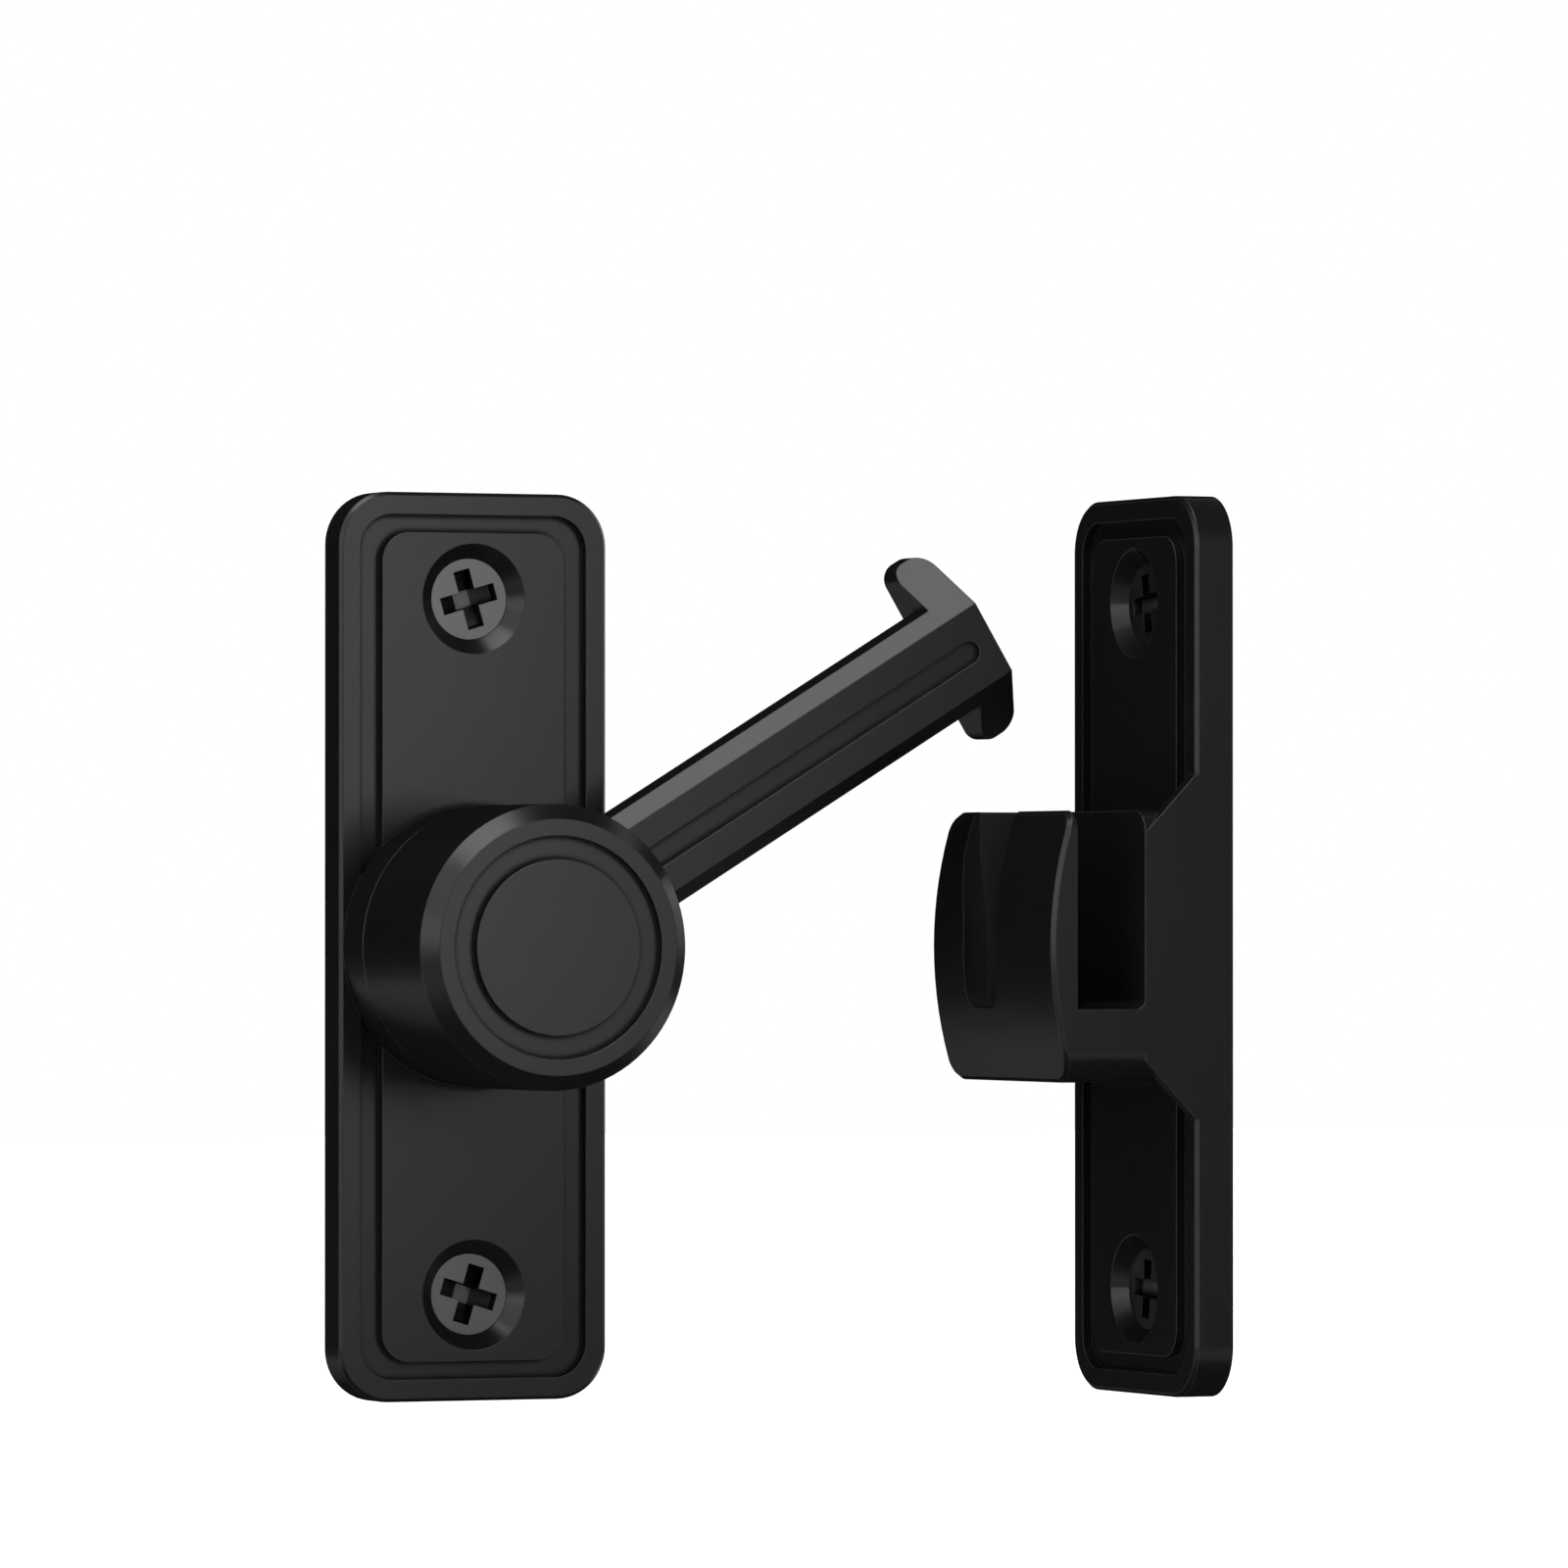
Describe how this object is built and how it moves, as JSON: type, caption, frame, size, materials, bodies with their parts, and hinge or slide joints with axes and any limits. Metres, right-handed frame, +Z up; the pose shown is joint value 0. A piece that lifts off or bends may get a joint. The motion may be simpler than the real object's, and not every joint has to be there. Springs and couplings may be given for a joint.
{
  "type": "barn door latch",
  "caption": "Barn door latch in satin black: a round hub with a swing arm on a door plate, and a jamb keeper whose open pocket takes the arm's T-shaped head.",
  "frame": {"origin": "the hub's axis on the back of the latch plate, where the plate meets the door's face", "axes": "+Y into the door, so -Y faces the room; +X along the door's face towards the jamb; +Z up"},
  "size_m": [0.0904, 0.0358, 0.09],
  "materials": {
    "black_casting": "satin",
    "black_screw": "satin",
    "steel": "satin",
    "nylon": "matte"
  },
  "bodies": {
    "fixed": {"latch_plate": "black_casting", "latch_screw_upper": "black_screw", "latch_screw_lower": "black_screw", "keeper": "black_casting", "keeper_screw_upper": "black_screw", "keeper_screw_lower": "black_screw", "flat_washer": "steel", "friction_ring": "nylon"},
    "arm": {"hub_arm": "black_casting", "pivot_screw": "steel", "spring_washer": "steel"}
  },
  "joints": [
    {"name": "arm_swing", "type": "hinge", "parent": "fixed", "child": "arm", "pos_m": [0, -0.0133, 0], "axis": [0, -1, 0], "range_deg": [-31.5, 305]}
  ]
}
